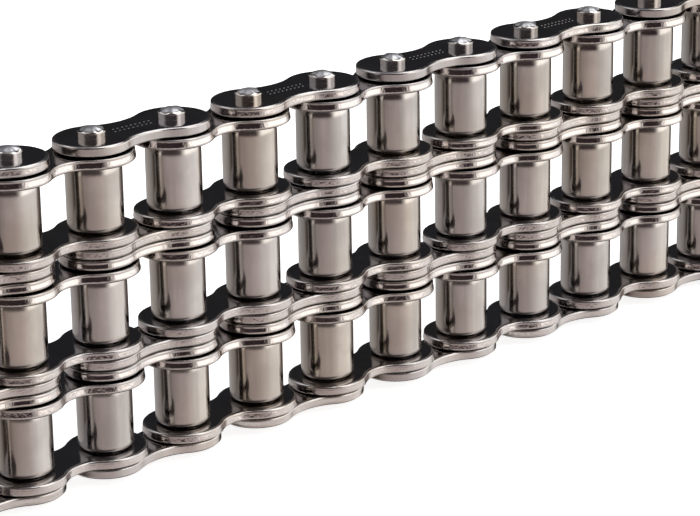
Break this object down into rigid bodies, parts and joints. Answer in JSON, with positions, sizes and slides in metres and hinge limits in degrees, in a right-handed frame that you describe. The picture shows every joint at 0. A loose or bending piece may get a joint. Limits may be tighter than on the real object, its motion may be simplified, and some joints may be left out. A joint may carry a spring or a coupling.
{
  "type": "roller chain",
  "caption": "Straight length of multi-strand roller chain: waisted link plates on pins and bushes, with loose rollers, to run on sprockets and carry a drive.",
  "frame": {"origin": "under the middle of the chain, on the plane of the lower pin ends it stands on", "axes": "+X runs along the chain from the end with bare pins to the end with open bushes, +Z along the pins, +Y across the link plates"},
  "size_m": [0.4892, 0.0332, 0.1433],
  "materials": {
    "pin_link_steel": "polished plates with rounded edges, on satin hardened pins",
    "plate_steel": "polished, with rounded bright edges",
    "roller_steel": "satin, warm grey"
  },
  "bodies": {
    "pin_link_1": {"pin_link_1": "pin_link_steel"},
    "roller_link_1": {"roller_link_frame_1_strand_1": "plate_steel", "roller_link_frame_1_strand_2": "plate_steel", "roller_link_frame_1_strand_3": "plate_steel"},
    "pin_link_2": {"pin_link_2": "pin_link_steel"},
    "roller_link_2": {"roller_link_frame_2_strand_1": "plate_steel", "roller_link_frame_2_strand_2": "plate_steel", "roller_link_frame_2_strand_3": "plate_steel"},
    "pin_link_3": {"pin_link_3": "pin_link_steel"},
    "roller_link_3": {"roller_link_frame_3_strand_1": "plate_steel", "roller_link_frame_3_strand_2": "plate_steel", "roller_link_frame_3_strand_3": "plate_steel"},
    "pin_link_4": {"pin_link_4": "pin_link_steel"},
    "roller_link_4": {"roller_link_frame_4_strand_1": "plate_steel", "roller_link_frame_4_strand_2": "plate_steel", "roller_link_frame_4_strand_3": "plate_steel"},
    "pin_link_5": {"pin_link_5": "pin_link_steel"},
    "roller_link_5": {"roller_link_frame_5_strand_1": "plate_steel", "roller_link_frame_5_strand_2": "plate_steel", "roller_link_frame_5_strand_3": "plate_steel"},
    "pin_link_6": {"pin_link_6": "pin_link_steel"},
    "roller_link_6": {"roller_link_frame_6_strand_1": "plate_steel", "roller_link_frame_6_strand_2": "plate_steel", "roller_link_frame_6_strand_3": "plate_steel"},
    "roller_01_strand_1": {"roller_01_strand_1": "roller_steel"},
    "roller_01_strand_2": {"roller_01_strand_2": "roller_steel"},
    "roller_01_strand_3": {"roller_01_strand_3": "roller_steel"},
    "roller_02_strand_1": {"roller_02_strand_1": "roller_steel"},
    "roller_02_strand_2": {"roller_02_strand_2": "roller_steel"},
    "roller_02_strand_3": {"roller_02_strand_3": "roller_steel"},
    "roller_03_strand_1": {"roller_03_strand_1": "roller_steel"},
    "roller_03_strand_2": {"roller_03_strand_2": "roller_steel"},
    "roller_03_strand_3": {"roller_03_strand_3": "roller_steel"},
    "roller_04_strand_1": {"roller_04_strand_1": "roller_steel"},
    "roller_04_strand_2": {"roller_04_strand_2": "roller_steel"},
    "roller_04_strand_3": {"roller_04_strand_3": "roller_steel"},
    "roller_05_strand_1": {"roller_05_strand_1": "roller_steel"},
    "roller_05_strand_2": {"roller_05_strand_2": "roller_steel"},
    "roller_05_strand_3": {"roller_05_strand_3": "roller_steel"},
    "roller_06_strand_1": {"roller_06_strand_1": "roller_steel"},
    "roller_06_strand_2": {"roller_06_strand_2": "roller_steel"},
    "roller_06_strand_3": {"roller_06_strand_3": "roller_steel"},
    "roller_07_strand_1": {"roller_07_strand_1": "roller_steel"},
    "roller_07_strand_2": {"roller_07_strand_2": "roller_steel"},
    "roller_07_strand_3": {"roller_07_strand_3": "roller_steel"},
    "roller_08_strand_1": {"roller_08_strand_1": "roller_steel"},
    "roller_08_strand_2": {"roller_08_strand_2": "roller_steel"},
    "roller_08_strand_3": {"roller_08_strand_3": "roller_steel"},
    "roller_09_strand_1": {"roller_09_strand_1": "roller_steel"},
    "roller_09_strand_2": {"roller_09_strand_2": "roller_steel"},
    "roller_09_strand_3": {"roller_09_strand_3": "roller_steel"},
    "roller_10_strand_1": {"roller_10_strand_1": "roller_steel"},
    "roller_10_strand_2": {"roller_10_strand_2": "roller_steel"},
    "roller_10_strand_3": {"roller_10_strand_3": "roller_steel"},
    "roller_11_strand_1": {"roller_11_strand_1": "roller_steel"},
    "roller_11_strand_2": {"roller_11_strand_2": "roller_steel"},
    "roller_11_strand_3": {"roller_11_strand_3": "roller_steel"},
    "roller_12_strand_1": {"roller_12_strand_1": "roller_steel"},
    "roller_12_strand_2": {"roller_12_strand_2": "roller_steel"},
    "roller_12_strand_3": {"roller_12_strand_3": "roller_steel"}
  },
  "joints": [
    {"name": "hinge_01", "type": "hinge", "parent": "pin_link_1", "child": "roller_link_1", "pos_m": [-0.19115, 0, 0.07116], "axis": [0, 0, 1], "range_deg": [-105, 105]},
    {"name": "hinge_02", "type": "hinge", "parent": "roller_link_1", "child": "pin_link_2", "pos_m": [-0.15305, 0, 0.07116], "axis": [0, 0, -1], "range_deg": [-105, 105]},
    {"name": "hinge_03", "type": "hinge", "parent": "pin_link_2", "child": "roller_link_2", "pos_m": [-0.11495, 0, 0.07116], "axis": [0, 0, 1], "range_deg": [-105, 105]},
    {"name": "hinge_04", "type": "hinge", "parent": "roller_link_2", "child": "pin_link_3", "pos_m": [-0.07685, 0, 0.07116], "axis": [0, 0, -1], "range_deg": [-105, 105]},
    {"name": "hinge_05", "type": "hinge", "parent": "pin_link_3", "child": "roller_link_3", "pos_m": [-0.03875, 0, 0.07116], "axis": [0, 0, 1], "range_deg": [-105, 105]},
    {"name": "hinge_06", "type": "hinge", "parent": "roller_link_3", "child": "pin_link_4", "pos_m": [-0.00065, 0, 0.07116], "axis": [0, 0, -1], "range_deg": [-105, 105]},
    {"name": "hinge_07", "type": "hinge", "parent": "pin_link_4", "child": "roller_link_4", "pos_m": [0.03745, 0, 0.07116], "axis": [0, 0, 1], "range_deg": [-105, 105]},
    {"name": "hinge_08", "type": "hinge", "parent": "roller_link_4", "child": "pin_link_5", "pos_m": [0.07555, 0, 0.07116], "axis": [0, 0, -1], "range_deg": [-105, 105]},
    {"name": "hinge_09", "type": "hinge", "parent": "pin_link_5", "child": "roller_link_5", "pos_m": [0.11365, 0, 0.07116], "axis": [0, 0, 1], "range_deg": [-105, 105]},
    {"name": "hinge_10", "type": "hinge", "parent": "roller_link_5", "child": "pin_link_6", "pos_m": [0.15175, 0, 0.07116], "axis": [0, 0, -1], "range_deg": [-105, 105]},
    {"name": "hinge_11", "type": "hinge", "parent": "pin_link_6", "child": "roller_link_6", "pos_m": [0.18985, 0, 0.07116], "axis": [0, 0, 1], "range_deg": [-105, 105]},
    {"name": "spin_01_strand_1", "type": "hinge", "parent": "roller_link_1", "child": "roller_01_strand_1", "pos_m": [-0.19115, 0, 0.1166], "axis": [0, 0, 1], "continuous": true},
    {"name": "spin_01_strand_2", "type": "hinge", "parent": "roller_link_1", "child": "roller_01_strand_2", "pos_m": [-0.19115, 0, 0.07116], "axis": [0, 0, 1], "continuous": true},
    {"name": "spin_01_strand_3", "type": "hinge", "parent": "roller_link_1", "child": "roller_01_strand_3", "pos_m": [-0.19115, 0, 0.02572], "axis": [0, 0, 1], "continuous": true},
    {"name": "spin_02_strand_1", "type": "hinge", "parent": "roller_link_1", "child": "roller_02_strand_1", "pos_m": [-0.15305, 0, 0.1166], "axis": [0, 0, 1], "continuous": true},
    {"name": "spin_02_strand_2", "type": "hinge", "parent": "roller_link_1", "child": "roller_02_strand_2", "pos_m": [-0.15305, 0, 0.07116], "axis": [0, 0, 1], "continuous": true},
    {"name": "spin_02_strand_3", "type": "hinge", "parent": "roller_link_1", "child": "roller_02_strand_3", "pos_m": [-0.15305, 0, 0.02572], "axis": [0, 0, 1], "continuous": true},
    {"name": "spin_03_strand_1", "type": "hinge", "parent": "roller_link_2", "child": "roller_03_strand_1", "pos_m": [-0.11495, 0, 0.1166], "axis": [0, 0, 1], "continuous": true},
    {"name": "spin_03_strand_2", "type": "hinge", "parent": "roller_link_2", "child": "roller_03_strand_2", "pos_m": [-0.11495, 0, 0.07116], "axis": [0, 0, 1], "continuous": true},
    {"name": "spin_03_strand_3", "type": "hinge", "parent": "roller_link_2", "child": "roller_03_strand_3", "pos_m": [-0.11495, 0, 0.02572], "axis": [0, 0, 1], "continuous": true},
    {"name": "spin_04_strand_1", "type": "hinge", "parent": "roller_link_2", "child": "roller_04_strand_1", "pos_m": [-0.07685, 0, 0.1166], "axis": [0, 0, 1], "continuous": true},
    {"name": "spin_04_strand_2", "type": "hinge", "parent": "roller_link_2", "child": "roller_04_strand_2", "pos_m": [-0.07685, 0, 0.07116], "axis": [0, 0, 1], "continuous": true},
    {"name": "spin_04_strand_3", "type": "hinge", "parent": "roller_link_2", "child": "roller_04_strand_3", "pos_m": [-0.07685, 0, 0.02572], "axis": [0, 0, 1], "continuous": true},
    {"name": "spin_05_strand_1", "type": "hinge", "parent": "roller_link_3", "child": "roller_05_strand_1", "pos_m": [-0.03875, 0, 0.1166], "axis": [0, 0, 1], "continuous": true},
    {"name": "spin_05_strand_2", "type": "hinge", "parent": "roller_link_3", "child": "roller_05_strand_2", "pos_m": [-0.03875, 0, 0.07116], "axis": [0, 0, 1], "continuous": true},
    {"name": "spin_05_strand_3", "type": "hinge", "parent": "roller_link_3", "child": "roller_05_strand_3", "pos_m": [-0.03875, 0, 0.02572], "axis": [0, 0, 1], "continuous": true},
    {"name": "spin_06_strand_1", "type": "hinge", "parent": "roller_link_3", "child": "roller_06_strand_1", "pos_m": [-0.00065, 0, 0.1166], "axis": [0, 0, 1], "continuous": true},
    {"name": "spin_06_strand_2", "type": "hinge", "parent": "roller_link_3", "child": "roller_06_strand_2", "pos_m": [-0.00065, 0, 0.07116], "axis": [0, 0, 1], "continuous": true},
    {"name": "spin_06_strand_3", "type": "hinge", "parent": "roller_link_3", "child": "roller_06_strand_3", "pos_m": [-0.00065, 0, 0.02572], "axis": [0, 0, 1], "continuous": true},
    {"name": "spin_07_strand_1", "type": "hinge", "parent": "roller_link_4", "child": "roller_07_strand_1", "pos_m": [0.03745, 0, 0.1166], "axis": [0, 0, 1], "continuous": true},
    {"name": "spin_07_strand_2", "type": "hinge", "parent": "roller_link_4", "child": "roller_07_strand_2", "pos_m": [0.03745, 0, 0.07116], "axis": [0, 0, 1], "continuous": true},
    {"name": "spin_07_strand_3", "type": "hinge", "parent": "roller_link_4", "child": "roller_07_strand_3", "pos_m": [0.03745, 0, 0.02572], "axis": [0, 0, 1], "continuous": true},
    {"name": "spin_08_strand_1", "type": "hinge", "parent": "roller_link_4", "child": "roller_08_strand_1", "pos_m": [0.07555, 0, 0.1166], "axis": [0, 0, 1], "continuous": true},
    {"name": "spin_08_strand_2", "type": "hinge", "parent": "roller_link_4", "child": "roller_08_strand_2", "pos_m": [0.07555, 0, 0.07116], "axis": [0, 0, 1], "continuous": true},
    {"name": "spin_08_strand_3", "type": "hinge", "parent": "roller_link_4", "child": "roller_08_strand_3", "pos_m": [0.07555, 0, 0.02572], "axis": [0, 0, 1], "continuous": true},
    {"name": "spin_09_strand_1", "type": "hinge", "parent": "roller_link_5", "child": "roller_09_strand_1", "pos_m": [0.11365, 0, 0.1166], "axis": [0, 0, 1], "continuous": true},
    {"name": "spin_09_strand_2", "type": "hinge", "parent": "roller_link_5", "child": "roller_09_strand_2", "pos_m": [0.11365, 0, 0.07116], "axis": [0, 0, 1], "continuous": true},
    {"name": "spin_09_strand_3", "type": "hinge", "parent": "roller_link_5", "child": "roller_09_strand_3", "pos_m": [0.11365, 0, 0.02572], "axis": [0, 0, 1], "continuous": true},
    {"name": "spin_10_strand_1", "type": "hinge", "parent": "roller_link_5", "child": "roller_10_strand_1", "pos_m": [0.15175, 0, 0.1166], "axis": [0, 0, 1], "continuous": true},
    {"name": "spin_10_strand_2", "type": "hinge", "parent": "roller_link_5", "child": "roller_10_strand_2", "pos_m": [0.15175, 0, 0.07116], "axis": [0, 0, 1], "continuous": true},
    {"name": "spin_10_strand_3", "type": "hinge", "parent": "roller_link_5", "child": "roller_10_strand_3", "pos_m": [0.15175, 0, 0.02572], "axis": [0, 0, 1], "continuous": true},
    {"name": "spin_11_strand_1", "type": "hinge", "parent": "roller_link_6", "child": "roller_11_strand_1", "pos_m": [0.18985, 0, 0.1166], "axis": [0, 0, 1], "continuous": true},
    {"name": "spin_11_strand_2", "type": "hinge", "parent": "roller_link_6", "child": "roller_11_strand_2", "pos_m": [0.18985, 0, 0.07116], "axis": [0, 0, 1], "continuous": true},
    {"name": "spin_11_strand_3", "type": "hinge", "parent": "roller_link_6", "child": "roller_11_strand_3", "pos_m": [0.18985, 0, 0.02572], "axis": [0, 0, 1], "continuous": true},
    {"name": "spin_12_strand_1", "type": "hinge", "parent": "roller_link_6", "child": "roller_12_strand_1", "pos_m": [0.22795, 0, 0.1166], "axis": [0, 0, 1], "continuous": true},
    {"name": "spin_12_strand_2", "type": "hinge", "parent": "roller_link_6", "child": "roller_12_strand_2", "pos_m": [0.22795, 0, 0.07116], "axis": [0, 0, 1], "continuous": true},
    {"name": "spin_12_strand_3", "type": "hinge", "parent": "roller_link_6", "child": "roller_12_strand_3", "pos_m": [0.22795, 0, 0.02572], "axis": [0, 0, 1], "continuous": true}
  ]
}
